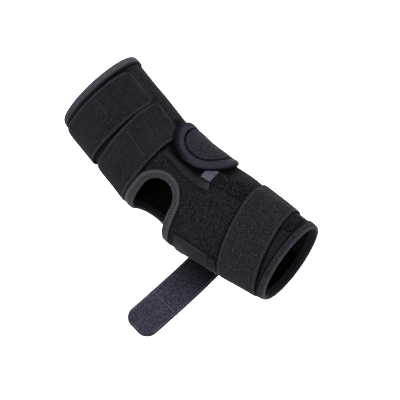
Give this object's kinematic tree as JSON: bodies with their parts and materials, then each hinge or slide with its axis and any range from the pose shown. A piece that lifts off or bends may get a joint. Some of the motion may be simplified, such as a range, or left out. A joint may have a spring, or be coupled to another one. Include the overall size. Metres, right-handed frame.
{
  "type": "elbow brace",
  "caption": "Open-ended padded sleeve for a bent elbow, with bound cuffs, a hole at the point of the elbow, wrap straps, one left open, and a hinge cover.",
  "frame": {"origin": "on the axis of the arm, at the middle of the elbow bend", "axes": "+X along the chord from the shoulder end to the wrist end, +Z towards the inside of the elbow (the side the bend closes on), -Y out of the side that carries the hinge cover and faces the viewer"},
  "size_m": [0.3052, 0.1076, 0.2205],
  "materials": {
    "fleece": "brushed loop cloth, dull, with a fine pale speckle",
    "strap": "smooth brushed strap cloth, dull",
    "cover": "brushed loop cloth over a soft pad, dull",
    "binding": "close-woven binding tape, slight sheen",
    "pad_cloth": "smooth stretch cloth, slight sheen",
    "coarse": "coarse hook and loop cloth, black"
  },
  "bodies": {
    "root": {"sleeve": "fleece", "upper_cuff_binding": "binding", "forearm_cuff_binding": "binding", "elbow_hole_binding": "binding", "splint_pocket": "pad_cloth", "coarse_patch": "coarse", "hinge_pad": "pad_cloth", "hinge_gusset": "pad_cloth", "hinge_cover": "cover", "hinge_cover_rim": "binding", "upper_strap": "strap", "lower_strap": "strap", "forearm_strap": "strap", "open_strap": "strap", "strap_root_patch": "pad_cloth", "root_tab": "binding"}
  },
  "joints": []
}
